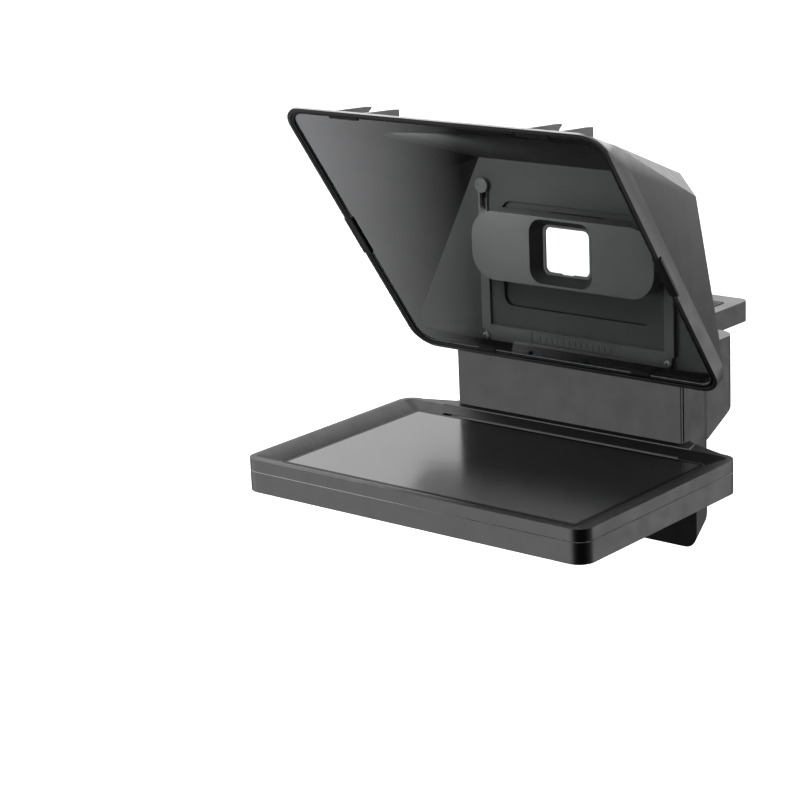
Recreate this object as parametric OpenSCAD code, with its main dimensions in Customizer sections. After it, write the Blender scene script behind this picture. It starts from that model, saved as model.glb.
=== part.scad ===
// Teleprompter: a display base, an upright with a rear guide, a camera carriage that
// slides on the guide, and a hood with a sloping beam-splitter glass.
// Millimetres. +Z is up, the reader looks along +Y, the camera stands behind (+Y).
// Origin: mouth of the tripod thread, in the middle of the underside of the base.

/* [Display base] */
// Width of the base, left to right
base_w = 226; // [222:1:240]
// Depth of the base, front to back
base_d = 141; // [140:0.5:143]
// Height of the base at its rim
base_h = 18.4; // [18:0.1:18.9]
// Corner radius of the base in plan
base_r = 9; // [6:0.5:12]
// Height of the seam between the housing and the top frame
seam_z = 11.8; // [11.4:0.1:12]
// Height of the cover glass
glass_z = 14.4; // [14.2:0.1:15]
// Height of the flat rear deck that carries the upright
deck_z = 19; // [18.9:0.1:19.4]
// Width of the visible screen
screen_w = 197; // [190:1:200]
// Depth of the visible screen
screen_d = 117.4; // [110:0.2:118]
// Centre of the screen, front to back
screen_y = 2.3; // [1:0.1:3]

/* [Upright] */
// Width of the upright
upright_w = 151.6; // [151:0.2:153]
// Front face of the upright
upright_y = 71.3; // [71:0.1:72]
// Height of the upright's roof, under the hood
roof_z = 51.2; // [50.6:0.1:51.2]
// Height of the rear ledge behind the hood
ledge_z = 65.4; // [64:0.1:65.8]
// How far the foot reaches below the base
foot_drop = 12; // [11:0.5:14]
// Front of the foot, below the base
foot_front = 60; // [58:0.5:62]

/* [Guide and carriage] */
// Width of the guide plate
guide_w = 144; // [142:0.2:144.2]
// Thickness of the guide plate
guide_t = 11; // [10.6:0.1:11.4]
// How far the guide plate reaches below the base
guide_drop = 47; // [40:1:52]
// Distance of each rail from the middle
rail_x = 34; // [28:1:40]
// Height of the camera shelf's top face
shelf_z = 66.4; // [66:0.1:68]
// Width of the camera shelf
shelf_w = 75; // [70:1:80]
// Rear end of the camera shelf
shelf_y = 202; // [196:0.5:215]
// Thickness of the camera shelf at its edge
shelf_t = 12.1; // [11:0.1:14]
// Rear face of the carriage body
bulge_y = 134; // [130:0.5:136]

/* [Hood] */
// Angle of the glass from the horizontal
glass_angle = 55.2; // [54.8:0.1:55.6]
// Width of the hood's front rim
hood_w = 207; // [206:0.5:208]
// Length of the hood's front rim up the slope
hood_l = 186.9; // [185:0.1:188]
// Corner radius of the rim
hood_r = 14; // [12:0.5:16]
// Rear face of the hood
hood_y = 85.8; // [85:0.1:85.9]
// Height of the hood's rear top edge
hood_z = 163.2; // [161:0.2:165]

/* [Lens window] */
// Height of the lens window's centre
window_z = 115.3; // [113:0.1:117]
// Width of the lens window
window_w = 29.3; // [24:0.1:32]
// Height of the lens window
window_h = 25.2; // [20:0.1:27]
// Width of the window plate
plate_w = 122; // [120:1:126]
// Height of the window plate
plate_h = 39; // [37:0.5:41]

/* [Fasteners] */
// Radius of the 1/4 inch camera and tripod threads
quarter_r = 3.175; // [3.1:0.005:3.2]
// Radius of the small screws' shanks
screw_r = 1.25; // [1:0.05:1.4]
// Where along the slot the camera screw stands
screw_y = 162; // [152:0.5:185]

/* [Hidden] */
$fn = 48;
shell = 2.2;
gap = 0.2;
eps = 0.01;
// base
rim_w = 3.6;
glass_t = 1.1;
lcd_t = 2.9;
glass_low = glass_z - glass_t;
ledge_w = 2.2;
ledge_t = 1.2;
back_y = base_d / 2;
neck_y = 79;
neck_x = 77;
flare_x = 103;
deck_x = 84;
boss_spots = [for (x = [-105, 0, 105], y = [-63, 54]) if (x != 0 || y < 0) [x, y]];
boss_top = 12.8;
seam_gap = 0.35;
foot_x = [-62, -22, 22, 62];
foot_y = 66;
// upright
half_w = upright_w / 2;
wall_t = 3;
cover_t = 2;
cover_seam = 0.9;
step_y = neck_y + 0.3;
spine_y = 87.6;
guide_y = 91.1;
guide_back = guide_y + guide_t;
cheek_y = 94;
guide_top = ledge_z;
guide_spots = [for (x = [-56, 56], z = [25, 43]) [x, z]];
port_x = 60;
port_y = 78;
// rails and carriage
stem_w = 6;
head_w = 10;
stem_t = 1.6;
head_t = 2;
car_y = guide_back + 0.3;
car_z = 13;
car_rise = 15;
car_w = 143.6;
car_r = 10;
slot_w = 7;
slot_y = [147, 190];
pad_x = [9, 29.5];
pad_y = [144, 188.5];
pad_t = 1.2;
pad_sunk = 0.8;
washer_t = 1.6;
thread_z = shelf_z + 0.6;
thread_l = 5.2;
// hood
rim_d = 8.5;
rim_front = 1.2;
seat_z = -3.2;
gasket_t = 0.4;
mirror_t = 1.5;
bezel_t = 0.9;
glass_in = 2.1;
open_in = 5.1;
open_top = 4.8;
panel_y = 70.3 - hood_l * cos(glass_angle) + rim_front * sin(glass_angle);
panel_z = 51.3 + hood_l * sin(glass_angle) + rim_front * cos(glass_angle);
panel_tilt = atan((hood_z - panel_z) / (hood_y - panel_y));
side_y = hood_y - 14.7;
hook_x = 62.5;
hook_y = -30;
post_x = 62;
post_w = 6;
strip_w = 127;
frame_t = 2;
back_hole_z = 115;
plate_y = 69.5;
lip_deep = 6.2;
latch_x = 61.5;
latch_z = 146;
latch_r = 2;
latch_run = 12;
foot_screw_z = 59.2;

// ---------- shared shapes ----------

// a rectangle with round corners, centred
module plate2d(w, d, r) {
    square([w - 2 * r, d], center = true);
    square([w, d - 2 * r], center = true);
    for (x = [-1, 1], y = [-1, 1])
        translate([x * (w / 2 - r), y * (d / 2 - r)]) circle(r);
}

// the same shape as a plate that starts at height z
module plate(w, d, r, z, h) {
    translate([0, 0, z]) linear_extrude(h) plate2d(w, d, r);
}

// an upright plate, thick along Y, centred on x = 0 and z = zc
module wall(w, h, r, y, t, zc) {
    translate([0, y + t, zc]) rotate([90, 0, 0]) linear_extrude(t) plate2d(w, h, r);
}

// a box from its lowest corner to its highest
module box(a, b) {
    translate(a) cube(b - a);
}

// the same part on both sides of the middle plane
module both() {
    children();
    mirror([1, 0, 0]) children();
}

// a profile drawn as (y, z), swept across x from x0 for a width w
module side(x0, w) {
    translate([x0, 0, 0]) rotate([90, 0, 90]) linear_extrude(w) children();
}

// a cylinder along +Y
module rod_y(r, y, l) {
    translate([0, y, 0]) rotate([-90, 0, 0]) cylinder(r = r, h = l);
}

// places children in the plane of the glass: x across, y up the slope, -z into the hood
module on_slope() {
    translate([0, 70.3, 51.3]) rotate([180 - glass_angle, 0, 0]) children();
}

// a plate lying in the slope plane, inset from the rim and cut short at the top
module slope_plate(inset, r, z, t, top = 0) {
    translate([0, (hood_l - top) / 2, z])
        linear_extrude(t) plate2d(hood_w - 2 * inset, hood_l - top - 2 * inset, r);
}

// a pan-head screw standing on its head at z = 0
module pan_screw(l, r = screw_r, head = 2.3, cross = 0.9) {
    difference() {
        union() {
            cylinder(r = head, h = 1.5);
            cylinder(r = r, h = l);
        }
        for (a = [0, 90])
            rotate(a) translate([-head * 0.6, -0.25, -eps]) cube([head * 1.2, 0.5, cross]);
    }
}

// ---------- display base ----------

// plan of the neck that carries the upright
module neck2d() {
    polygon([[-flare_x, 60], [-flare_x, back_y - 0.3], [-neck_x, neck_y],
        [neck_x, neck_y], [flare_x, back_y - 0.3], [flare_x, 60]]);
}

// plan of the raised deck in front of the upright
module deck2d() {
    polygon([[-deck_x, 66.6], [-deck_x + 3, 76], [-neck_x, neck_y], [neck_x, neck_y],
        [deck_x - 3, 76], [deck_x, 66.6]]);
}

module base_frame() {
    color([0.17, 0.17, 0.18]) difference() {
        union() {
            plate(base_w, base_d, base_r, seam_z, base_h - seam_z);
            translate([0, 0, seam_z]) linear_extrude(base_h - seam_z) neck2d();
            translate([0, 0, seam_z]) linear_extrude(deck_z - seam_z) deck2d();
        }
        for (s = boss_spots) translate([s[0], s[1], 0]) cylinder(r = screw_r + 0.05, h = boss_top);
        // sloping well from the rim down to the glass
        hull() {
            translate([0, screen_y, glass_z]) plate(screen_w, screen_d, 3, 0, eps);
            plate(base_w - 2 * rim_w, base_d - 2 * rim_w, base_r - rim_w, base_h, 1);
        }
        // seat of the cover glass, then the smaller opening below it
        translate([0, screen_y]) plate(screen_w, screen_d, 3, glass_low - gap, 4);
        translate([0, screen_y])
            plate(screen_w - 2 * ledge_w, screen_d - 2 * ledge_w, 2, seam_z - 1, 5);
        // hollow underside, following the walls
        plate(base_w - 2 * shell, base_d - 2 * shell, base_r - shell, seam_z - 1,
            glass_low - gap - ledge_t - seam_z + 1);
        translate([0, 0, seam_z - 1]) linear_extrude(4.2) polygon([[-80, 60], [-80, 72],
            [-neck_x + 4, neck_y - shell], [neck_x - 4, neck_y - shell], [80, 72], [80, 60]]);
    }
    // screw pillars
    color([0.17, 0.17, 0.18]) for (s = boss_spots) translate([s[0], s[1], seam_z + 0.05])
        difference() {
            cylinder(r = 2.6, h = glass_low - gap - seam_z);
            translate([0, 0, -1]) cylinder(r = screw_r + 0.05, h = boss_top - seam_z + 1);
        }
}

module base_housing() {
    color([0.15, 0.15, 0.16]) difference() {
        union() {
            difference() {
                union() {
                    plate(base_w, base_d, base_r, 0, seam_z - seam_gap);
                    linear_extrude(seam_z - seam_gap) neck2d();
                }
                plate(base_w - 2 * shell, base_d - 2 * shell, base_r - shell, 2, seam_z);
                translate([0, 0, 2]) linear_extrude(seam_z) polygon([[-96, 60], [-96, 70],
                    [-neck_x + 3, neck_y - shell], [neck_x - 3, neck_y - shell], [96, 70], [96, 60]]);
            }
            for (s = boss_spots) translate([s[0], s[1], 0]) cylinder(r = 3.6, h = seam_z - seam_gap);
            for (x = foot_x) translate([x, foot_y, 0]) cylinder(r = 3.8, h = 9);
            cylinder(r = 8.5, h = 6.5);
            both() for (y = [-25, 15]) translate([45, y, 0]) cylinder(r = 2.6, h = 4.5);
            // ribs that stiffen the floor
            for (y = [-48, 38]) box([-100, y, 1], [100, y + 1.4, 6]);
        }
        translate([0, 0, -1]) cylinder(r = 5, h = 7);
        for (s = boss_spots) translate([s[0], s[1], -1]) {
            cylinder(r = 2.6, h = 3.2);
            cylinder(r = screw_r + 0.1, h = 20);
        }
        for (x = foot_x) translate([x, foot_y, -1]) cylinder(r = 1.45, h = 9);
        // slot for the ribbon that goes down into the foot
        box([41, 71.4, -1], [57, 74.4, 4]);
    }
}

module cover_glass() {
    color([0.03, 0.03, 0.035]) translate([0, screen_y])
        plate(screen_w - 2 * gap, screen_d - 2 * gap, 2.8, glass_low, glass_t);
}

module lcd_panel() {
    color([0.08, 0.09, 0.1]) translate([0, screen_y])
        plate(screen_w - 2 * ledge_w - 1, screen_d - 2 * ledge_w - 1, 1.5, glass_low - 0.1 - lcd_t, lcd_t);
}

module backlight_unit() {
    z = glass_low - 0.3 - lcd_t - 2.4;
    color([0.75, 0.76, 0.78]) translate([0, screen_y]) difference() {
        plate(screen_w - 7, screen_d - 7, 1, z, 2.4);
        for (x = [-60, 0, 60]) translate([x, 0, 0]) plate(44, 80, 3, z - 1, 1.6);
    }
}

module driver_board() {
    color([0.05, 0.22, 0.14]) translate([0, -5, 4.6]) difference() {
        linear_extrude(1) plate2d(104, 56, 2);
        both() for (y = [-20, 20]) translate([45, y, -1]) cylinder(r = 1.4, h = 3);
        translate([0, 5, -1]) cylinder(r = 9, h = 3);
    }
    color([0.06, 0.06, 0.07]) {
        box([-34, -24, 5.6], [-18, -8, 6.8]);
        box([20, -18, 5.6], [30, -8, 6.6]);
        box([14, 4, 5.6], [34, 9, 6.8]);
    }
}

// flat cable from the driver board, over the floor rib and down to the port board
module display_ribbon() {
    color([0.72, 0.5, 0.18]) {
        box([42, 18, 5.6], [52, 26, 5.85]);
        box([42, 25.75, 5.6], [52, 26, 6.9]);
        box([42, 25.75, 6.65], [52, 73, 6.9]);
        box([42, 72.75, -4.6], [52, 73, 6.9]);
        box([42, 72.75, -4.6], [52, 76.5, -4.35]);
    }
}

module usb_port() {
    color([0.62, 0.63, 0.65]) translate([port_x, port_y, -foot_drop + 0.3]) difference() {
        linear_extrude(6) plate2d(8.9, 3.3, 1.6);
        translate([0, 0, -1]) linear_extrude(6) plate2d(8.3, 2.7, 1.3);
    }
    color([0.1, 0.1, 0.11]) box([port_x - 3.2, port_y - 0.35, -foot_drop + 1.2],
        [port_x + 3.2, port_y + 0.35, -foot_drop + 5.5]);
}

module port_board() {
    z = -foot_drop + 6.35;
    color([0.05, 0.22, 0.14]) difference() {
        box([48, 74, z], [71, 83, z + 1]);
        for (y = [78.5]) translate([68.5, y, z - 1]) cylinder(r = 1.3, h = 3);
    }
    color([0.08, 0.08, 0.09]) box([53, 77, z + 1], [59, 81, z + 2]);
}

module tripod_insert() {
    color([0.72, 0.6, 0.3]) difference() {
        cylinder(r = 4.9, h = 5.9);
        translate([0, 0, -1]) cylinder(r = quarter_r, h = 8);
        for (z = [1.6, 3.6]) translate([0, 0, z]) rotate_extrude() translate([4.5, 0]) square([1, 0.5]);
    }
}

module base_screws() {
    color([0.3, 0.3, 0.32])
        for (s = boss_spots) translate([s[0], s[1], 0.6]) pan_screw(12);
}

// ---------- upright ----------

// side outline of the upright with its foot, drawn as (y, z)
module upright2d() {
    front = upright_y + cover_t + cover_seam;
    polygon([[foot_front, -foot_drop], [cheek_y, -foot_drop], [cheek_y, ledge_z],
        [hood_y + 0.3, ledge_z], [hood_y + 0.3, roof_z], [front, roof_z], [front, deck_z + 0.05],
        [step_y, deck_z + 0.05], [step_y, -0.1], [foot_front, -0.1]]);
}

// side outline of the hollow in the upright, drawn as (y, z)
module upright_void2d() {
    polygon([[foot_front + wall_t, 2 - foot_drop], [spine_y, 2 - foot_drop], [spine_y, roof_z - 2.4],
        [upright_y, roof_z - 2.4], [upright_y, deck_z + 2.2], [step_y + 2, deck_z + 2.2],
        [step_y + 2, -2.2], [foot_front + wall_t, -2.2]]);
}

module upright_housing() {
    inner = half_w - wall_t;
    color([0.2, 0.2, 0.21]) difference() {
        union() {
            difference() {
                side(-half_w, upright_w) upright2d();
                side(-inner, 2 * inner) upright_void2d();
                // channel at the back for the guide plate
                box([-inner, guide_y - 0.1, -foot_drop - 1], [inner, cheek_y + 1, ledge_z + 1]);
            }
            // seats for the hood's foot screws
            both() translate([latch_x, 0, foot_screw_z]) rod_y(4.5, hood_y + 0.2, guide_y - hood_y - 0.4);
            // pillars for the screws into the base
            for (x = foot_x) translate([x, foot_y, 1 - foot_drop]) cylinder(r = 4.4, h = foot_drop - 1.2);
            // stand-offs of the port board
            translate([68.5, 78.5, 1 - foot_drop]) cylinder(r = 2.4, h = 5.2);
        }
        for (x = foot_x) translate([x, foot_y, -foot_drop - 1]) {
            cylinder(r = 2.9, h = 4);
            cylinder(r = 1.65, h = 20);
        }
        translate([port_x, port_y, -foot_drop - 1]) linear_extrude(4) plate2d(9.3, 3.7, 1.8);
        box([41, 71.4, -4], [57, 74.4, 1]);
        for (s = guide_spots) translate([s[0], 0, s[1]]) rod_y(screw_r + 0.1, 80, 20);
        both() translate([latch_x, 0, foot_screw_z]) {
            rod_y(1.6, 80, 20);
            rod_y(3.5, guide_y - 2.6, 5);
        }
        // opening for the hood's tenon
        box([-60.3, 78.2, roof_z - 4], [60.3, 84.3, roof_z + 1]);
    }
}

module upright_front_cover() {
    z0 = deck_z + 0.05;
    color([0.22, 0.22, 0.23]) {
        box([-half_w, upright_y, z0], [half_w, upright_y + cover_t, roof_z]);
        // snap arms that hook on the spine bracket
        both() for (x = [22, 62]) {
            box([x - 4, upright_y + 1, 27], [x + 4, 83.4, 28.4]);
            box([x - 4, upright_y + 1, 38], [x + 4, 83.4, 39.4]);
        }
        box([-half_w + wall_t + 0.3, upright_y + 1, z0 + 2.4], [-half_w + wall_t + 1.5, 76, roof_z - 2.8]);
        box([half_w - wall_t - 1.5, upright_y + 1, z0 + 2.4], [half_w - wall_t - 0.3, 76, roof_z - 2.8]);
    }
}

// folded steel plate that ties the foot to the guide
module spine_bracket() {
    z0 = 2 - foot_drop + 0.1;
    color([0.6, 0.61, 0.63]) difference() {
        union() {
            box([-70, 85.9, z0], [70, 87.4, 47]);
            box([-70, foot_front + wall_t + 0.5, z0], [70, 87.4, z0 + 1.5]);
        }
        for (x = foot_x) translate([x, foot_y, z0 - 1]) cylinder(r = 4.6, h = 4);
        for (s = guide_spots) translate([s[0], 0, s[1]]) rod_y(screw_r + 0.1, 80, 20);
        box([46, 60, z0 - 1], [71, 84, z0 + 3]);
        for (x = [-30, 0, 30]) translate([x, 0, 20]) rod_y(7, 80, 20);
    }
}

module foot_screws() {
    color([0.3, 0.3, 0.32])
        for (x = foot_x) translate([x, foot_y, 1.2 - foot_drop]) pan_screw(17.6, 1.4, 2.6);
}

module guide_plate() {
    half = guide_w / 2;
    color([0.14, 0.14, 0.15]) difference() {
        union() {
            // the lower corners are tighter in front than at the back
            hull() {
                for (x = [-1, 1]) {
                    translate([x * (half - 8), 0, 8 - guide_drop]) rod_y(8, guide_y, 0.2);
                    translate([x * (half - 14), 0, 19 - guide_drop]) rod_y(14, guide_back - 0.2, 0.2);
                }
                box([-half, guide_y, guide_top - 1], [half, guide_back, guide_top]);
            }
            both() {
                box([rail_x - stem_w / 2, guide_back - 1, 5 - guide_drop],
                    [rail_x + stem_w / 2, guide_back + stem_t + 0.1, guide_top]);
                box([rail_x - head_w / 2, guide_back + stem_t, 4 - guide_drop],
                    [rail_x + head_w / 2, guide_back + stem_t + head_t, guide_top]);
                box([rail_x - head_w / 2, guide_back - 5, 4 - guide_drop],
                    [rail_x + head_w / 2, guide_back + stem_t + 0.1, 8 - guide_drop]);
            }
        }
        // hollow, open at the foot
        for (x = [-46, 0, 46]) box([x - 20, guide_y + 2.4, -60], [x + 20, guide_back - 2.4, guide_top - 3]);
        for (s = guide_spots) translate([s[0], 0, s[1]]) rod_y(screw_r + 0.1, 80, 18);
    }
    color([0.14, 0.14, 0.15]) for (s = guide_spots) translate([s[0], 0, s[1]]) difference() {
        rod_y(3.4, guide_y + 1, guide_t - 2);
        rod_y(screw_r + 0.1, 80, 18);
    }
}

module guide_screws() {
    color([0.3, 0.3, 0.32]) for (s = guide_spots)
        translate([s[0], 84.2, s[1]]) rotate([-90, 0, 0]) pan_screw(13);
}

// ---------- camera carriage ----------

// plan of the carriage body, with its front edge on y = car_y
module carriage2d(inset) {
    depth = bulge_y - car_y;
    translate([0, car_y + depth / 2]) plate2d(car_w - 2 * inset, depth - 2 * inset, car_r - inset);
    if (inset == 0) translate([-car_w / 2, car_y]) square([car_w, car_r]);
}

module shelf2d(inset) {
    l = shelf_y - 110 - 2 * inset;
    translate([0, 110 + inset + l / 2]) plate2d(shelf_w - 2 * inset, l, 6 - inset);
}

// side outline under which the body is cut away, drawn as (y, z)
module carriage_side2d() {
    polygon([[car_y - 5, car_z], [car_y + 1, car_z], [bulge_y, car_z + car_rise],
        [bulge_y + 1, shelf_z + 5], [car_y - 5, shelf_z + 5]]);
}

module camera_carriage() {
    pad_w = pad_x[1] - pad_x[0];
    slot_l = slot_y[1] - slot_y[0];
    color([0.19, 0.19, 0.2]) difference() {
        union() {
            intersection() {
                translate([0, 0, car_z]) linear_extrude(shelf_z - car_z) carriage2d(0);
                side(-100, 200) carriage_side2d();
            }
            translate([0, 0, shelf_z - shelf_t]) linear_extrude(shelf_t) shelf2d(0);
        }
        // hollow of the body, open below, behind the rail slots
        intersection() {
            translate([0, 0, car_z - 1]) linear_extrude(shelf_z - car_z - 2) carriage2d(2.4);
            box([-100, car_y + 7.5, 0], [100, 160, 100]);
        }
        // hollow of the shelf, open below
        box([3 - shelf_w / 2, bulge_y + 3, 0], [shelf_w / 2 - 3, shelf_y - 3, shelf_z - 3]);
        // slots for the rails
        both() {
            box([rail_x - stem_w / 2 - gap, car_y - 1, car_z - 1],
                [rail_x + stem_w / 2 + gap, guide_back + stem_t + 1, shelf_z + 1]);
            box([rail_x - head_w / 2 - gap, guide_back + stem_t - gap, car_z - 1],
                [rail_x + head_w / 2 + gap, guide_back + stem_t + head_t + 1.4, shelf_z + 1]);
        }
        // slot for the camera screw
        translate([0, slot_y[0] + slot_l / 2, 50]) linear_extrude(30) plate2d(slot_w, slot_l, slot_w / 2 - eps);
        both() translate([pad_x[0] + pad_w / 2, (pad_y[0] + pad_y[1]) / 2, shelf_z - pad_sunk])
            linear_extrude(2) plate2d(pad_w, pad_y[1] - pad_y[0], 2);
        // short strap slots in the top of the body
        both() {
            box([55.6, 110.5, shelf_z - 1], [57, 124.4, shelf_z + 1]);
            box([38, 125.4, shelf_z - 1], [51, 126.8, shelf_z + 1]);
        }
    }
}

module carriage_shoes() {
    y = guide_back + stem_t + head_t + 0.1;
    color([0.85, 0.85, 0.82]) both() for (z = [24, 50])
        box([rail_x - 4, y, z], [rail_x + 4, y + 1.3, z + 9]);
}

module shelf_pads() {
    w = pad_x[1] - pad_x[0] - 2 * gap;
    l = pad_y[1] - pad_y[0] - 2 * gap;
    color([0.08, 0.08, 0.085]) both()
        translate([(pad_x[0] + pad_x[1]) / 2, (pad_y[0] + pad_y[1]) / 2, shelf_z - pad_sunk]) difference() {
            linear_extrude(pad_t) plate2d(w, l, 1.8);
            for (y = [4 - l / 2:4.2:l / 2 - 3]) box([1.5 - w / 2, y - 0.5, 0.6], [w / 2 - 1.5, y + 0.5, 2]);
        }
}

module screw_washer() {
    color([0.55, 0.56, 0.58]) translate([0, screw_y, shelf_z - 3 - washer_t - 0.1]) difference() {
        linear_extrude(washer_t) plate2d(22, 18, 3);
        translate([0, 0, -1]) cylinder(r = quarter_r + 0.07, h = 4);
    }
}

module camera_screw() {
    knob_z = shelf_z - shelf_t + 0.4;
    color([0.5, 0.51, 0.53]) translate([0, screw_y, 0]) {
        // relieved shank, then the thread that stands above the pads
        translate([0, 0, knob_z + 1]) cylinder(r = quarter_r - 0.35, h = shelf_z - knob_z);
        translate([0, 0, thread_z]) cylinder(r = quarter_r, h = thread_l);
        difference() {
            translate([0, 0, knob_z]) cylinder(r = 9, h = 6);
            for (a = [0:24:359]) rotate(a) translate([9.3, 0, knob_z - 1]) cylinder(r = 1, h = 8);
            translate([-7, -0.8, knob_z - 1]) cube([14, 1.6, 2.4]);
        }
    }
}

// ---------- hood ----------

// corners of the hood behind its rim as (x, z), on the rear wall and where the bevel starts
function rear_pts(i) = [[67.4 - i, hood_z - i], [70 - i, 66 + i * 0.5], [64 - i, 53 + i]];
function bevel_pts(i) = [[86.8 - i, 155.1 - i], [96 - i, 105], [99 - i, 84.5], [101.8 - i, 73],
    [102.6 - i, 60 + i]];

// a thin slice across the hood at depth y, through the given points and their mirror images
module slice(y, p) {
    n = len(p);
    translate([0, y + 0.1, 0]) rotate([90, 0, 0]) linear_extrude(0.1)
        polygon([for (i = [0:2 * n - 1]) i < n ? p[i] : [-p[2 * n - 1 - i][0], p[2 * n - 1 - i][1]]]);
}

// solid outer form of the hood
module hood_outside() {
    half = hood_w / 2;
    hull() {
        on_slope() {
            slope_plate(0, hood_r, -rim_front, rim_front);
            translate([0, 0, -rim_d]) linear_extrude(0.1)
                polygon([[half - hood_r, 0], [half - 4, 4], [half, hood_r], [half, 154], [half - 2.1, 173],
                    [2.1 - half, 173], [-half, 154], [-half, hood_r], [4 - half, 4], [hood_r - half, 0]]);
        }
        slice(hood_y - 0.1, rear_pts(0));
        slice(side_y, bevel_pts(0));
    }
}

// hollow inside the hood
module hood_inside() {
    hull() {
        on_slope() slope_plate(open_in + 0.7, hood_r - open_in - 0.7, -6.9, 0.1, open_top);
        slice(hood_y - shell - 0.1, rear_pts(shell));
        slice(side_y - 1, bevel_pts(shell));
    }
}

// ramped cleat for an accessory, rising to the rear, drawn on a level surface
module cleat() {
    // one fin ends in a hook, the other is cut square
    translate([-10.6, 0, 0]) rotate([90, 0, 90]) linear_extrude(1.6)
        polygon([[0, -1], [29.8, -1], [29.2, 5.6], [31, 7.8], [30.2, 8.4], [26, 7.5], [0, 0.3]]);
    translate([9, 0, 0]) rotate([90, 0, 90]) linear_extrude(1.6)
        polygon([[0, -1], [32.8, -1], [29.9, 8.2], [26, 7.4], [0, 0.3]]);
    difference() {
        box([-10.6, 25.4, -1], [10.6, 28.8, 3.6]);
        box([-11, 23.8, 1.2], [11, 27, 2.4]);
    }
}

// places children on the hood's top panel where a cleat stands
module at_cleats() {
    for (x = [-hook_x, hook_x])
        translate([x, hook_y, panel_z + (hook_y - panel_y) * tan(panel_tilt) - 0.1])
            rotate([panel_tilt, 0, 0]) children();
}

module hood_shell() {
    color([0.2, 0.2, 0.21]) difference() {
        union() {
            difference() {
                hood_outside();
                hood_inside();
            }
            at_cleats() cleat();
            // tenon that drops into the upright
            box([-60, 78.5, 43], [60, 84, 55]);
        }
        // shallow pockets between the cleats' fins
        at_cleats() box([-7.4, 8, -0.9], [7.4, 23.6, 6]);
        // seat for the glass and the opening behind it
        on_slope() {
            slope_plate(glass_in, hood_r - glass_in, seat_z, 6);
            slope_plate(open_in, hood_r - open_in, -7.4, 5, open_top);
        }
        // finger notches in the rim for the bezel tabs
        on_slope() both() box([hood_w / 2 - 3, 75, -2.1], [hood_w / 2 + 1, 103, 1]);
        // opening in the rear wall
        wall(100, 60, 6, hood_y - 3, 6, 108);
        box([-30.3, hood_y - 3, 58.6], [30.3, hood_y - 0.6, 65.1]);
        both() translate([latch_x, 0, foot_screw_z]) rod_y(1.7, 70, 40);
        both() hull() for (z = [latch_z - latch_run, latch_z])
            translate([latch_x, 0, z]) rod_y(latch_r + 0.3, 80, 20);
    }
}

module glass_gasket() {
    color([0.05, 0.05, 0.05]) on_slope() difference() {
        slope_plate(glass_in + gap, hood_r - glass_in - gap, seat_z + 0.05, gasket_t);
        slope_plate(open_in, hood_r - open_in, seat_z - 1, 3, open_top);
    }
}

module beam_splitter_glass() {
    color([0.55, 0.6, 0.62, 0.35]) on_slope()
        slope_plate(glass_in + gap, hood_r - glass_in - gap, seat_z + gasket_t + 0.1, mirror_t);
}

module glass_bezel() {
    z = seat_z + gasket_t + mirror_t + 0.15;
    t = bezel_t;
    color([0.04, 0.04, 0.04]) on_slope() difference() {
        union() {
            difference() {
                slope_plate(glass_in + gap, hood_r - glass_in - gap, z, t);
                slope_plate(glass_in + 1.9, hood_r - glass_in - 1.9, z - 1, 4);
            }
            both() {
                box([51, hood_l - 5.4, z], [71, hood_l - 3, z + t]);
                box([46, 2.6, z], [58, 5, z + t]);
                box([hood_w / 2 - 4.6, 75.4, z], [hood_w / 2 + 0.9, 102.6, z + t + 0.3]);
            }
        }
        // seams at the ends of the tabs
        both() for (x = [50.4, 71]) box([x, hood_l - 4.6, z + t - 0.3], [x + 0.6, hood_l - 2.2, z + 3]);
        both() for (x = [45.6, 58]) box([x, 2.2, z + t - 0.3], [x + 0.6, 4.2, z + 3]);
    }
}

// ---------- lens window ----------

module window_frame() {
    y0 = hood_y - shell - frame_t - 0.1;
    t = frame_t;
    color([0.25, 0.25, 0.26]) difference() {
        union() {
            both() {
                box([post_x - post_w / 2, y0, 63], [post_x + post_w / 2, y0 + t, latch_z]);
                translate([latch_x, 0, latch_z]) rod_y(3.8, y0, t);
            }
            wall(strip_w, 9, 4.4, y0, t, 61.3);
        }
        box([-30.3, y0 - 1, 58.6], [30.3, hood_y, 65.1]);
        both() translate([latch_x, 0, foot_screw_z]) rod_y(1.7, 70, 40);
        both() hull() for (z = [latch_z - latch_run, latch_z])
            translate([latch_x, 0, z]) rod_y(latch_r + 0.3, 70, 40);
    }
}

module window_plate() {
    y0 = plate_y;
    y1 = hood_y - shell - frame_t - 0.3;
    r = 15;
    color([0.16, 0.16, 0.17]) difference() {
        union() {
            difference() {
                wall(plate_w, plate_h, r, y0, y1 - y0, window_z);
                wall(plate_w - 4, plate_h - 4, r - 2, y0 + 2, 20, window_z);
            }
            // walls round the funnel and the window
            wall(46, plate_h - 1, 9, y0 + 1, y1 - y0 - 1, window_z);
            // tabs that rest on the posts
            both() for (z = [-8, 8]) box([55, y1 - 2, window_z + z - 3], [61.5, y1 - 0.1, window_z + z + 3]);
        }
        // the funnel narrows from the face to the window
        hull() {
            wall(42, 36, 8, y0 - 0.1, 0.1, window_z);
            wall(window_w + 3, window_h + 3, 4, y0 + lip_deep, 0.1, window_z);
        }
        wall(window_w, window_h, 3.5, y0 - 1, 20, window_z);
        box([-4, y0 - 1, window_z - window_h / 2 - 1], [4, 90, window_z]);
        // relief behind the window's lip, for an oblique view through it
        wall(43, 32, 6, y0 + lip_deep + 1.2, 20, window_z);
    }
}

module window_seal() {
    y0 = hood_y - shell - frame_t - 0.2;
    color([0.06, 0.06, 0.06]) difference() {
        wall(50, 38, 9, y0, 4, window_z);
        wall(44, 32, 6, y0 - 1, 6, window_z);
    }
}

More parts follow.
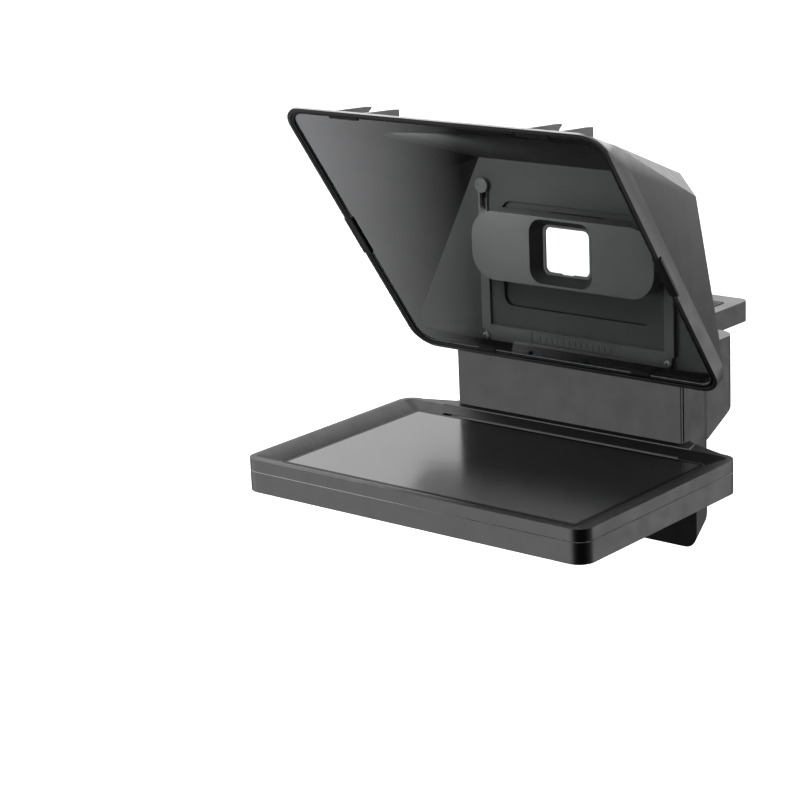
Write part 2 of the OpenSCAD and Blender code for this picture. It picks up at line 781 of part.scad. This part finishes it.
module release_tab() {
    y0 = hood_y - shell - frame_t + 0.1;
    color([0.2, 0.2, 0.21]) difference() {
        box([-30, y0, 58.9], [30, y0 + 1.8, 64.8]);
        for (x = [-24:4:24]) box([x - 0.4, y0 - 1, 60.2], [x + 0.4, y0 + 0.4, 63.5]);
    }
}

module rear_backplate() {
    low = ledge_z + 0.6;
    h = 158 - low;
    zc = low + h / 2;
    y0 = hood_y + 0.1;
    color([0.2, 0.2, 0.21]) difference() {
        union() {
            wall(132, h, 6, y0, 2.2, zc);
            both() for (x = [44, 52]) box([x, y0 + 2, 76], [x + 1.4, y0 + 3.4, 126]);
            wall(60, 40, 9, y0 + 2, 2, back_hole_z);
        }
        wall(54, 33, 7, hood_y - 1, 8, back_hole_z);
        both() hull() for (z = [latch_z - latch_run, latch_z])
            translate([latch_x, 0, z]) rod_y(latch_r + 0.3, 70, 40);
        // guide grooves below the latches
        both() box([latch_x - 1, y0 + 1.4, 70], [latch_x + 1, y0 + 6, latch_z - latch_run]);
    }
}

// stem, inside head and outside thumb piece of one sliding latch, centred on its stem
module slide_latch() {
    y_in = hood_y - shell - frame_t - 0.1;
    y_out = hood_y + 2.5;
    color([0.16, 0.16, 0.17]) translate([latch_x, 0, latch_z]) {
        rod_y(latch_r, y_in - 1, y_out - y_in + 1.5);
        difference() {
            rod_y(4.2, y_in - 1.7, 1.6);
            box([-3, y_in - 2, -0.5], [3, y_in - 1.1, 0.5]);
        }
        difference() {
            hull() {
                box([-8, y_out, -9], [4, y_out + 1.2, 5]);
                box([-4.5, y_out + 3.6, -8], [0.5, y_out + 4.6, 0]);
            }
            for (z = [-6:2.4:-1]) box([-9, y_out + 4.1, z], [9, y_out + 6, z + 0.8]);
        }
    }
}

module hood_screws() {
    y0 = hood_y - shell - frame_t - 0.1;
    color([0.55, 0.55, 0.56])
        both() translate([latch_x, y0 - 1.6, foot_screw_z]) rotate([-90, 0, 0]) pan_screw(11, 1.5, 2.2);
}

module hood_nuts() {
    color([0.6, 0.6, 0.62]) both() translate([latch_x, guide_y - 2.5, foot_screw_z])
        rotate([-90, 0, 0]) difference() {
            cylinder(r = 3.1, h = 2.3, $fn = 6);
            translate([0, 0, -1]) cylinder(r = 1.55, h = 5, $fn = 48);
        }
}

base_frame();
base_housing();
cover_glass();
lcd_panel();
backlight_unit();
driver_board();
display_ribbon();
usb_port();
port_board();
tripod_insert();
base_screws();
upright_housing();
upright_front_cover();
spine_bracket();
foot_screws();
guide_plate();
guide_screws();
camera_carriage();
carriage_shoes();
shelf_pads();
screw_washer();
camera_screw();
hood_shell();
glass_gasket();
beam_splitter_glass();
glass_bezel();
window_frame();
window_plate();
window_seal();
release_tab();
rear_backplate();
mirror([1, 0, 0]) slide_latch();  // slide_latch_left
slide_latch();  // slide_latch_right
hood_screws();
hood_nuts();
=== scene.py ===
import math

import bmesh
import bpy
from mathutils import Matrix, Vector


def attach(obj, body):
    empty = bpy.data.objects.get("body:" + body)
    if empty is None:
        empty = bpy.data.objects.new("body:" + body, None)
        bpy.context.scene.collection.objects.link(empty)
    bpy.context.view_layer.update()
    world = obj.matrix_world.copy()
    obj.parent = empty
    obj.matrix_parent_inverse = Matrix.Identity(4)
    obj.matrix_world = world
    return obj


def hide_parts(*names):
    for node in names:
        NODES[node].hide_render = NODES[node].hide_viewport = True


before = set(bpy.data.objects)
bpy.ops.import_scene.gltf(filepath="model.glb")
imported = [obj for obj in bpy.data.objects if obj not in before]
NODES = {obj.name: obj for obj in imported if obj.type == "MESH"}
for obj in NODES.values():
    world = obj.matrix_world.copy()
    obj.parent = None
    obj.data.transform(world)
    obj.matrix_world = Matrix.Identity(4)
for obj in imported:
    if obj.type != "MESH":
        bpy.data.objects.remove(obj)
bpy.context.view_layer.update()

MM = 0.001


# ---------- node helpers ----------

def new_material(name):
    """A material with an empty node tree and its output."""
    mat = bpy.data.materials.new(name)
    mat.use_nodes = True
    tree = mat.node_tree
    tree.nodes.clear()
    out = tree.nodes.new("ShaderNodeOutputMaterial")
    return mat, tree, out


def node(tree, kind, inputs=None, **props):
    """Adds a node, sets its properties, and sets or links its inputs."""
    made = tree.nodes.new(kind)
    for key, value in props.items():
        setattr(made, key, value)
    for key, value in (inputs or {}).items():
        if isinstance(value, bpy.types.NodeSocket):
            tree.links.new(value, made.inputs[key])
        else:
            made.inputs[key].default_value = value
    return made


def noise(tree, scale, detail=3.0, rough=0.55, stretch=(1, 1, 1)):
    """Procedural noise in object space; scale is in cells per metre."""
    coord = node(tree, "ShaderNodeTexCoord")
    mapping = node(tree, "ShaderNodeMapping", {"Vector": coord.outputs["Object"], "Scale": stretch})
    tex = node(tree, "ShaderNodeTexNoise", {"Vector": mapping.outputs["Vector"], "Scale": scale,
                                            "Detail": detail, "Roughness": rough})
    return tex.outputs["Fac"]


def span(tree, value, low, high, to_low, to_high):
    """Maps a value from one range to another."""
    made = node(tree, "ShaderNodeMapRange", {"Value": value, "From Min": low, "From Max": high,
                                             "To Min": to_low, "To Max": to_high})
    return made.outputs["Result"]


def mix_color(tree, fac, a, b):
    """Mixes two colours, each a value or a socket."""
    made = node(tree, "ShaderNodeMix", data_type="RGBA")
    for index, value in ((0, fac), (6, a), (7, b)):
        if isinstance(value, bpy.types.NodeSocket):
            tree.links.new(value, made.inputs[index])
        else:
            made.inputs[index].default_value = value
    return made.outputs[2]


def grey(v, warm=0.0):
    """An RGBA grey, a little warm or cool."""
    return (v * (1 + warm), v, v * (1 - warm), 1)


def moulded(name, color, rough=0.5, grain=0.35, bump=0.25, edge=0.35, specular=0.5, painted_edge_highlight=0.35):
    """Injection-moulded plastic: spark-eroded grain, faint flow variation, and a painted highlight along the edges.

    grain and edge are sizes in millimetres."""
    mat, tree, out = new_material(name)
    fine = noise(tree, 1 / (grain * MM), 4.0, 0.6)
    pits = node(tree, "ShaderNodeTexVoronoi", {"Vector": node(tree, "ShaderNodeTexCoord").outputs["Object"],
                                               "Scale": 0.7 / (grain * MM)}, feature="SMOOTH_F1")
    height = node(tree, "ShaderNodeMath", {0: fine, 1: pits.outputs["Distance"]}, operation="ADD")
    rounded_normal = node(tree, "ShaderNodeBevel", {"Radius": edge * MM}, samples=4)
    surface = node(tree, "ShaderNodeBump", {"Strength": bump, "Distance": 0.05 * MM,
                                            "Height": height.outputs[0],
                                            "Normal": rounded_normal.outputs["Normal"]})
    flow = noise(tree, 14, 2.0, 0.5, (1, 1, 2.2))
    cloud = noise(tree, 90, 4.0, 0.6)
    darker = tuple(c * 0.92 for c in color[:3]) + (1,)
    lighter = tuple(min(1, c * 1.08) for c in color[:3]) + (1,)
    tint = mix_color(tree, span(tree, flow, 0.3, 0.7, 0.0, 1.0), darker, lighter)
    # where the rounded normal leaves the true one, the edge is painted lighter: a painted highlight, its strength
    # varied at random
    facing = node(tree, "ShaderNodeVectorMath", {0: rounded_normal.outputs["Normal"],
                                                 1: node(tree, "ShaderNodeNewGeometry").outputs["True Normal"]},
                  operation="DOT_PRODUCT")
    edge_highlight_mask = node(tree, "ShaderNodeMath", {0: span(tree, facing.outputs["Value"], 1.0, 0.86, 0.0, painted_edge_highlight),
                                         1: span(tree, cloud, 0.35, 0.65, 0.4, 1.0)}, operation="MULTIPLY")
    # the colour of the painted edge highlight, lighter than the plastic
    highlight_color = tuple(min(1, c * 2.2 + 0.02) for c in color[:3]) + (1,)
    base = mix_color(tree, edge_highlight_mask.outputs[0], tint, highlight_color)
    roughness = span(tree, cloud, 0.3, 0.7, rough - 0.05, rough + 0.05)
    bsdf = node(tree, "ShaderNodeBsdfPrincipled", {"Base Color": base, "Roughness": roughness,
                                                   "Normal": surface.outputs["Normal"],
                                                   "Specular IOR Level": specular})
    tree.links.new(bsdf.outputs[0], out.inputs["Surface"])
    return mat


def metal(name, color, rough=0.3, brushed=(1, 1, 1), bump=0.1, metallic=1.0):
    """Turned, plated or brushed metal with fine tool marks."""
    mat, tree, out = new_material(name)
    marks = noise(tree, 1 / (0.25 * MM), 3.0, 0.6, brushed)
    stain = noise(tree, 220, 4.0, 0.6)
    rounded_normal = node(tree, "ShaderNodeBevel", {"Radius": 0.15 * MM}, samples=4)
    surface = node(tree, "ShaderNodeBump", {"Strength": bump, "Distance": 0.03 * MM, "Height": marks,
                                            "Normal": rounded_normal.outputs["Normal"]})
    stained = tuple(c * 0.8 for c in color[:3]) + (1,)
    base = mix_color(tree, span(tree, stain, 0.35, 0.7, 0.0, 1.0), color, stained)
    bsdf = node(tree, "ShaderNodeBsdfPrincipled", {"Base Color": base, "Metallic": metallic,
                                                   "Roughness": span(tree, stain, 0.3, 0.7,
                                                                     rough - 0.06, rough + 0.08),
                                                   "Normal": surface.outputs["Normal"]})
    tree.links.new(bsdf.outputs[0], out.inputs["Surface"])
    return mat


def screen_black(name):
    """Cover glass of the display: deep black, clear coat, a trace of dust."""
    mat, tree, out = new_material(name)
    dust = noise(tree, 2600, 2.0, 0.5)
    smear = noise(tree, 26, 3.0, 0.5, (1, 2.5, 1))
    base = mix_color(tree, span(tree, dust, 0.66, 0.8, 0.0, 0.06), grey(0.006), grey(0.25))
    # the printed border of the glass is matt
    place = node(tree, "ShaderNodeSeparateXYZ", {0: node(tree, "ShaderNodeTexCoord").outputs["Object"]})
    across = node(tree, "ShaderNodeMath", {0: place.outputs["X"]}, operation="ABSOLUTE")
    along = node(tree, "ShaderNodeMath", {0: place.outputs["Y"], 1: 2.3 * MM}, operation="SUBTRACT")
    along = node(tree, "ShaderNodeMath", {0: along.outputs[0]}, operation="ABSOLUTE")
    border = node(tree, "ShaderNodeMath", {0: span(tree, across.outputs[0], 95.4 * MM, 96.0 * MM, 0, 1),
                                           1: span(tree, along.outputs[0], 55.6 * MM, 56.2 * MM, 0, 1)},
                  operation="MAXIMUM").outputs[0]
    bsdf = node(tree, "ShaderNodeBsdfPrincipled", {"Base Color": base, "IOR": 1.5,
                                                   "Specular IOR Level": span(tree, border, 0, 1, 0.38, 0.02),
                                                   "Roughness": span(tree, smear, 0.3, 0.7, 0.17, 0.22)})
    tree.links.new(bsdf.outputs[0], out.inputs["Surface"])
    return mat


def half_mirror(name, reflect=0.2):
    """Beam-splitter glass: part mirror, part clear, with faint smears."""
    mat, tree, out = new_material(name)
    smear = noise(tree, 22, 3.0, 0.5, (1, 1.6, 1))
    fresnel = node(tree, "ShaderNodeFresnel", {"IOR": 1.5})
    amount = node(tree, "ShaderNodeMath", {0: span(tree, fresnel.outputs[0], 0.04, 1.0, reflect, 1.0),
                                           1: span(tree, smear, 0.3, 0.7, 0.96, 1.04)}, operation="MULTIPLY")
    # only the face where a ray enters reflects it; the face where it leaves is clear
    entering = span(tree, node(tree, "ShaderNodeNewGeometry").outputs["Backfacing"], 0, 1, 1, 0)
    share = node(tree, "ShaderNodeMath", {0: amount.outputs[0], 1: entering}, operation="MULTIPLY")
    clear = node(tree, "ShaderNodeBsdfTransparent", {"Color": (0.96, 0.97, 0.97, 1)})
    shine = node(tree, "ShaderNodeBsdfGlossy", {"Color": (0.97, 0.98, 1, 1), "Roughness": 0.02})
    both = node(tree, "ShaderNodeMixShader", {0: share.outputs[0], 1: clear.outputs[0], 2: shine.outputs[0]})
    tree.links.new(both.outputs[0], out.inputs["Surface"])
    return mat


def board(name):
    """Circuit board: solder mask over copper traces."""
    mat, tree, out = new_material(name)
    coord = node(tree, "ShaderNodeTexCoord")
    trace = node(tree, "ShaderNodeTexBrick", {"Vector": coord.outputs["Object"], "Scale": 260.0,
                                              "Color1": (0.01, 0.07, 0.035, 1), "Color2": (0.012, 0.09, 0.045, 1),
                                              "Mortar": (0.03, 0.16, 0.08, 1), "Mortar Size": 0.03})
    bsdf = node(tree, "ShaderNodeBsdfPrincipled", {"Base Color": trace.outputs["Color"], "Roughness": 0.35,
                                                   "Coat Weight": 0.4})
    tree.links.new(bsdf.outputs[0], out.inputs["Surface"])
    return mat


M = {
    # a duller copy of the housing plastic for the frame's top faces, so they read darker: painted shade
    "frame": moulded("frame_plastic", grey(0.006, 0.03), 0.46, 0.40, specular=0.15),
    "housing": moulded("housing_plastic", grey(0.005, 0.03), 0.36, 0.40, specular=0.6),
    "upright": moulded("upright_plastic", grey(0.007), 0.44, 0.40),
    # a darker, duller copy of the upright plastic for the foot below the base: painted shade
    "foot": moulded("foot_plastic", grey(0.003), 0.6, 0.40, specular=0.05, painted_edge_highlight=0.1),
    "guide": moulded("guide_plastic", grey(0.007), 0.5, 0.45),
    "carriage": moulded("carriage_plastic", grey(0.006), 0.42, 0.40, specular=0.6),
    "hood": moulded("hood_plastic", grey(0.006, 0.02), 0.38, 0.40),
    # a light grey copy of the hood plastic for the cleats' top and right faces: painted light
    "cleat": moulded("cleat_plastic", grey(0.12), 0.45, 0.40, specular=1.0),
    # a lighter, glossier copy of the hood plastic for the band round the rim: painted sheen
    "rim": moulded("rim_plastic", grey(0.014, 0.04), 0.40, 0.40, specular=1.0),
    # copies of the dark hood plastic for the inside of the hood, lightened or darkened to paint its light and shade
    "inner": moulded("inner_plastic", grey(0.085), 0.6, 0.40, bump=0.08, specular=0.1),
    "inner_black": moulded("inner_black_plastic", grey(0.006), 0.6, 0.40, bump=0.06, specular=0.05),
    "inner_dark": moulded("inner_dark_plastic", grey(0.035), 0.6, 0.40, bump=0.08, specular=0.1),
    # the parts inside the hood, lightened further to paint the light on them: painted light
    "inner_light": moulded("inner_light_plastic", grey(0.16), 0.6, 0.40, bump=0.08, specular=0.1),
    "latch": moulded("latch_plastic", grey(0.008), 0.42, 0.30),
    "bezel": moulded("bezel_plastic", grey(0.002), 0.3, 0.30, bump=0.05, specular=0.2, painted_edge_highlight=0.1),
    "pad": moulded("pad_rubber", grey(0.010), 0.72, 0.25, bump=0.5, specular=0.3),
    "seal": moulded("seal_rubber", grey(0.010), 0.8, 0.25, bump=0.5, specular=0.2),
    "white": moulded("white_plastic", grey(0.75), 0.5, 0.3),
    "ribbon": moulded("ribbon_film", (0.5, 0.28, 0.06, 1), 0.35, 0.2, bump=0.1),
    # the pale colour of the glass edge ring is a painted highlight
    "glass_edge": moulded("glass_edge", (0.16, 0.18, 0.18, 1), 0.25, 0.3, bump=0.03),
    "screen": screen_black("screen_glass"),
    "mirror": half_mirror("mirror_glass"),
    "board": board("board_green"),
    "steel": metal("bright_steel", (0.56, 0.57, 0.6, 1), 0.28, (1, 6, 1)),
    "zinc": metal("zinc_steel", (0.6, 0.61, 0.64, 1), 0.34),
    "black_screw": metal("black_screw", (0.03, 0.03, 0.032, 1), 0.4, metallic=0.8),
    "brass": metal("insert_brass", (0.75, 0.53, 0.2, 1), 0.3),
}


# ---------- mesh helpers ----------

def link(name, mesh):
    obj = bpy.data.objects.new(name, mesh)
    bpy.context.collection.objects.link(obj)
    return obj


def soften(obj, width, segments=3, angle=28):
    """Rounds the hard edges of a piece by width millimetres and evens its shading."""
    if width > 0:
        bevel = obj.modifiers.new("round_edges", "BEVEL")
        bevel.width = width * MM
        bevel.segments = segments
        bevel.limit_method = "ANGLE"
        bevel.angle_limit = math.radians(angle)
        bevel.use_clamp_overlap = True
        bevel.harden_normals = False
    normals = obj.modifiers.new("even_normals", "WEIGHTED_NORMAL")
    normals.keep_sharp = True
    obj.data.polygons.foreach_set("use_smooth", [True] * len(obj.data.polygons))
    obj.data.set_sharp_from_angle(angle=math.radians(angle + 8))


SLOPE = math.radians(55.2)
SLOPE_FOOT = Vector((0, 70.3, 51.3)) * MM
SLOPE_OUT = Vector((0, -math.sin(SLOPE), -math.cos(SLOPE)))
SLOPE_UP = Vector((0, -math.cos(SLOPE), math.sin(SLOPE)))
HOOD_MIDDLE = Vector((0, 20, 130)) * MM
# the top of the hood: where it starts, how high, and how much it falls per unit of depth
TOP_Y, TOP_Z, TOP_FALL = -35.4 * MM, 205.5 * MM, 0.349
LENS_Z = 115.3 * MM
# the hood's rim in the slope plane, in millimetres
RIM_HALF_W, RIM_LENGTH, RIM_CORNER = 103.5, 186.9, 14
CORNER_STEPS = 10


def inside_hood(center, normal):
    """1 for a face of the hood's inner walls, which look at the middle of the hood, 2 on its left
    and floor, 3 under its top; 4 for the band round the rim; 5 on the top and right faces of the cleats.
    These pick copies of the plastic that paint light and shade: 1 painted light, 2 painted deep shade,
    3 painted shade, 4 a lighter, glossier band of painted sheen, 5 painted light."""
    depth = (center - SLOPE_FOOT).dot(SLOPE_OUT)
    above_panel = center.z - (TOP_Z - (center.y - TOP_Y) * TOP_FALL)
    # the cleats' top and right faces take the light copy: painted light
    if above_panel > 0.6 * MM and center.y > -33 * MM and (normal.z > 0.4 or normal.x > 0.5):
        return 5
    outward = (HOOD_MIDDLE - center).dot(normal) < 0
    # the band round the rim takes the lighter copy: painted sheen
    if depth > -8.7 * MM and outward and abs(normal.dot(SLOPE_OUT)) < 0.25:
        return 4
    if depth > -5 * MM or outward:
        return 0
    # the inner walls: painted light where they look at the middle, painted deep shade on the left and floor, painted
    # shade under the top
    if normal.x > 0.5 or normal.z > 0.3:
        return 2
    return 3 if normal.z < -0.5 else 1


def funnel(center, normal):
    """True for a face of the recess round the lens window, which takes the darker inner copy as painted shade."""
    near = abs(center.x) < 20.5 * MM and abs(center.z - LENS_Z) < 17.9 * MM
    return near and normal.y > -0.97


def below_base(center, normal):
    """True for a face of the foot, except its right side; these take a darker copy of the plastic as painted shade
    under the base.
    """
    return center.z < -0.2 * MM and normal.x < 0.6


# pieces whose faces carry more than one material: the others, and which of them a face takes
# the second materials are lit or shaded copies of a plastic, painting light and shade by where a face sits and which
# way it looks
SECOND_MATERIAL = {
    "hood_shell": (("inner", "inner_black", "inner_dark", "rim", "cleat"), inside_hood),
    # the frame's top faces take the duller copy: painted shade on the tops
    "base_frame": (("frame",), lambda center, normal: normal.z > 0.3),
    # the recess round the lens window takes the darker copy: painted shade
    "window_plate": (("inner_dark",), funnel),
    "upright_housing": (("foot",), below_base),
    # the guide plate's front faces take the darker foot copy: painted shade
    "guide_plate": (("foot",), lambda center, normal: normal.y < -0.5),
    # the latch heads inside the hood take the lightened inner copy: painted light
    "slide_latch_left": (("inner_light",), lambda center, normal: center.y < 82 * MM),
    "slide_latch_right": (("inner_light",), lambda center, normal: center.y < 82 * MM),
    # the backplate's faces toward the inside of the hood take the lightened inner copy: painted light
    "rear_backplate": (("inner",), lambda center, normal: normal.y < -0.5),
}


def rounded(cad_node, width, material, body, segments=3):
    """A piece made from a CAD node's surface, its flats merged and its edges rounded."""
    source = NODES[cad_node]
    mesh = source.data.copy()
    bm = bmesh.new()
    bm.from_mesh(mesh)
    bmesh.ops.remove_doubles(bm, verts=bm.verts, dist=0.002 * MM)
    bmesh.ops.dissolve_limit(bm, angle_limit=math.radians(0.6), verts=bm.verts, edges=bm.edges)
    bm.to_mesh(mesh)
    bm.free()
    mesh.materials.clear()
    mesh.materials.append(M[material])
    if cad_node in SECOND_MATERIAL:
        others, belongs = SECOND_MATERIAL[cad_node]
        for other in others:
            mesh.materials.append(M[other])
        for face in mesh.polygons:
            face.material_index = int(belongs(face.center, face.normal))
    obj = link(cad_node + "_piece", mesh)
    soften(obj, width, segments)
    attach(obj, body)
    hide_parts(cad_node)
    return obj


def paint(cad_node, material):
    """Gives a carried-over CAD node its material."""
    data = NODES[cad_node].data
    data.materials.clear()
    data.materials.append(M[material])


# ---------- pieces ----------

ROUNDED = [
    # node, edge radius in mm, material, body
    ("base_frame", 0.5, "housing", "stand"),
    ("base_housing", 0.5, "housing", "stand"),
    ("cover_glass", 0.15, "screen", "stand"),
    ("upright_housing", 0.5, "upright", "stand"),
    ("upright_front_cover", 0.4, "upright", "stand"),
    ("guide_plate", 0.6, "guide", "stand"),
    ("camera_carriage", 0.8, "carriage", "carriage"),
    ("shelf_pads", 0.15, "pad", "carriage"),
    ("hood_shell", 0.7, "hood", "stand"),
    ("beam_splitter_glass", 0.15, "mirror", "stand"),
    ("glass_bezel", 0.15, "bezel", "stand"),
    # the window parts and the release tab take the lightened inner copy: painted light
    ("window_frame", 0.3, "inner_light", "stand"),
    ("window_plate", 0.5, "inner_light", "stand"),
    ("window_seal", 0.2, "seal", "stand"),
    ("release_tab", 0.2, "inner_light", "release"),
    ("rear_backplate", 0.4, "hood", "stand"),
    ("slide_latch_left", 0.3, "latch", "latch_left"),
    ("slide_latch_right", 0.3, "latch", "latch_right"),
    ("camera_screw", 0.2, "steel", "screw"),
]
for name, width, material, body in ROUNDED:
    piece = rounded(name, width, material, body)
    # the glass shows an even fade in place of a mirror image of the base
    if name in ("base_frame", "base_housing", "cover_glass"):
        piece.visible_glossy = False


def slope_ring(inset, width, low, high):
    """A thin frame on the glass, following the hood's rim.

    Sizes are in millimetres, low and high measured from the slope plane."""
    half_w, length, corner = RIM_HALF_W - inset, RIM_LENGTH - inset, RIM_CORNER - inset

    def outline(shrink):
        points = []
        centres = ((half_w - corner, inset + corner, -90), (half_w - corner, length - corner, 0),
                   (corner - half_w, length - corner, 90), (corner - half_w, inset + corner, 180))
        for x, up, start in centres:
            for step in range(CORNER_STEPS + 1):
                angle = math.radians(start + 90 * step / CORNER_STEPS)
                radius = corner - shrink
                points.append((x + radius * math.cos(angle), up + radius * math.sin(angle)))
        return points

    loops = [(outline(0), low), (outline(0), high), (outline(width), high), (outline(width), low)]
    count = len(loops[0][0])
    verts = [SLOPE_FOOT + (Vector((x, 0, 0)) + SLOPE_UP * up + SLOPE_OUT * level) * MM
             for points, level in loops for x, up in points]
    faces = []
    for ring in range(4):
        start, following = ring * count, (ring + 1) % 4 * count
        for i in range(count):
            j = (i + 1) % count
            faces.append((start + i, start + j, following + j, following + i))
    mesh = bpy.data.meshes.new("glass_edge")
    mesh.from_pydata(verts, [], faces)
    bm = bmesh.new()
    bm.from_mesh(mesh)
    bmesh.ops.recalc_face_normals(bm, faces=bm.faces)
    bm.to_mesh(mesh)
    bm.free()
    mesh.materials.append(M["glass_edge"])
    obj = link("glass_edge_painted_highlight", mesh)
    soften(obj, 0)
    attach(obj, "stand")


# polished edge of the glass, drawn as a pale ring inside the bezel: a painted highlight where the edge catches light
slope_ring(4.05, 0.45, -1.18, -0.95)

PAINTED = {
    "lcd_panel": "screen", "backlight_unit": "white", "driver_board": "board", "display_ribbon": "ribbon",
    "usb_port": "steel", "port_board": "board", "tripod_insert": "brass", "base_screws": "black_screw",
    "spine_bracket": "zinc", "foot_screws": "black_screw", "guide_screws": "black_screw",
    "carriage_shoes": "white", "screw_washer": "steel", "glass_gasket": "seal", "hood_screws": "zinc",
    "hood_nuts": "zinc",
}
INSIDE_BASE = ("lcd_panel", "backlight_unit", "driver_board", "display_ribbon", "port_board", "tripod_insert",
               "base_screws", "foot_screws")
for name, material in PAINTED.items():
    paint(name, material)
    if name in INSIDE_BASE:
        NODES[name].visible_glossy = False


# ---------- stage, light, camera ----------

FLOOR_Z = -0.30
FLOOR_HALF = 6.0


def make_floor():
    """A plain white floor that is seen by the camera and sends no light back to the object."""
    mesh = bpy.data.meshes.new("floor")
    corners = [(x * FLOOR_HALF, y * FLOOR_HALF, FLOOR_Z) for x, y in ((-1, -1), (1, -1), (1, 1), (-1, 1))]
    mesh.from_pydata(corners, [], [(0, 1, 2, 3)])
    floor = link("floor", mesh)
    mat, tree, out = new_material("floor_white")
    tone = mix_color(tree, noise(tree, 3, 2.0), (0.92, 0.92, 0.92, 1), (0.94, 0.94, 0.94, 1))
    bsdf = node(tree, "ShaderNodeBsdfPrincipled", {"Base Color": tone, "Roughness": 0.8, "Specular IOR Level": 0.1})
    tree.links.new(bsdf.outputs[0], out.inputs["Surface"])
    mesh.materials.append(mat)
    floor.visible_glossy = False
    floor.visible_diffuse = False


# soft light from a direction: (direction, half angle where it ends, half angle where it is full, strength)
LOBES = [
    ((-0.66, -0.71, -0.26), 50, 25, 2.0),
    ((0.64, 0.72, -0.28), 20, 6, 1.8),
    ((0.39, 0.89, -0.17), 30, 12, 0.1),
    ((0.11, 0.93, 0.38), 26, 10, 6.5),
    ((-0.61, 0.75, 0.26), 30, 14, 1.4),
    ((-0.61, 0.02, 0.79), 30, 10, 5.5),
    ((-0.61, 0.42, 0.62), 26, 10, 3.0),
    ((0, 0, 1), 65, 25, 1.2),
]
AMBIENT = 0.22
# gradient of the bright edge below the object, per unit of direction
EDGE = (-12.485, 4.960, 9.229)
# strength of the space below the object: inside that edge, and everywhere
EDGE_LIGHT, LOW_LIGHT = 0.85, 0.01
UNDER = ((0, 0, -1), 50, 43, 1.0)
# the camera stands in a dark part of the studio
DARK = ((0.645, -0.73, -0.12), 64, 30, 1.0)


def make_world():
    """White to the camera; to everything else a studio of soft boxes, dark behind the camera and under the object."""
    world = bpy.data.worlds.new("studio")
    bpy.context.scene.world = world
    world.use_nodes = True
    tree = world.node_tree
    tree.nodes.clear()
    out = tree.nodes.new("ShaderNodeOutputWorld")
    look = node(tree, "ShaderNodeTexCoord").outputs["Generated"]

    def along(direction):
        return node(tree, "ShaderNodeVectorMath", {0: look, 1: direction}, operation="DOT_PRODUCT").outputs["Value"]

    def lobe(direction, ends, full, strength):
        unit = Vector(direction).normalized()
        soft = node(tree, "ShaderNodeMapRange", {"Value": along(unit), "From Min": math.cos(math.radians(ends)),
                                                 "From Max": math.cos(math.radians(full)), "To Max": strength},
                    interpolation_type="SMOOTHSTEP")
        return soft.outputs["Result"]

    def maths(kind, a, b):
        return node(tree, "ShaderNodeMath", {0: a, 1: b}, operation=kind).outputs[0]

    total = AMBIENT
    for item in LOBES:
        total = maths("ADD", lobe(*item), total)
    total = maths("MULTIPLY", total, maths("SUBTRACT", 1.0, lobe(*DARK)))
    # under the object: dark, with a bright edge that the glass picks up in its top left corner
    edge = node(tree, "ShaderNodeClamp", {"Value": along(EDGE)}).outputs[0]
    low = maths("ADD", maths("MULTIPLY", edge, EDGE_LIGHT), LOW_LIGHT)
    under = lobe(*UNDER)
    kept = maths("MULTIPLY", total, maths("SUBTRACT", 1.0, under))
    total = maths("ADD", kept, maths("MULTIPLY", low, under))
    seen = node(tree, "ShaderNodeLightPath").outputs["Is Camera Ray"]
    strength = maths("ADD", maths("MULTIPLY", total, maths("SUBTRACT", 1.0, seen)), seen)
    back = node(tree, "ShaderNodeBackground", {"Color": (1, 1, 1, 1), "Strength": strength})
    tree.links.new(back.outputs[0], out.inputs["Surface"])


def softbox(name, place, aim, size, power):
    """A square area light at place, turned towards aim; size in metres, power in watts."""
    data = bpy.data.lights.new(name, "AREA")
    data.energy = power
    data.shape = "RECTANGLE"
    data.size = size
    data.size_y = size
    lamp = bpy.data.objects.new(name, data)
    bpy.context.collection.objects.link(lamp)
    lamp.location = place
    lamp.rotation_euler = (Vector(aim) - Vector(place)).to_track_quat("-Z", "Y").to_euler()
    return lamp


# focal length in widths of the frame
FOCAL_LENGTH = 2418.178 / 800


def make_camera():
    """A long lens, high and to the right of the object's front, turned a little about its axis."""
    azimuth, elevation, roll = math.radians(40.505), math.radians(15.973), math.radians(-2.579)
    distance = 1.294359
    shift_right, shift_up = -0.047553, 0.048221
    back = Vector((math.sin(azimuth) * math.cos(elevation), -math.cos(azimuth) * math.cos(elevation),
                   math.sin(elevation)))
    right = Vector((math.cos(azimuth), math.sin(azimuth), 0))
    up = right.cross(-back)
    turned_right = right * math.cos(roll) + up * math.sin(roll)
    turned_up = up * math.cos(roll) - right * math.sin(roll)
    place = back * distance + turned_right * shift_right + turned_up * shift_up
    data = bpy.data.cameras.new("camera")
    data.sensor_width = 36
    data.lens = data.sensor_width * FOCAL_LENGTH
    data.clip_end = 20
    camera = bpy.data.objects.new("camera", data)
    bpy.context.collection.objects.link(camera)
    axes = Matrix((turned_right, turned_up, back)).transposed().to_4x4()
    camera.matrix_world = Matrix.Translation(place) @ axes
    bpy.context.scene.camera = camera


make_floor()
make_world()
softbox("top_light", (-0.2, 0.3, 1.6), (0, 0, 0.1), 1.4, 4)
inside = softbox("inside_light", (-0.055, 0.0, 0.165), (-0.02, 0.085, 0.12), 0.05, 0.085)
inside.visible_camera = False
inside.visible_glossy = False
bpy.context.scene.view_settings.view_transform = "Standard"
make_camera()
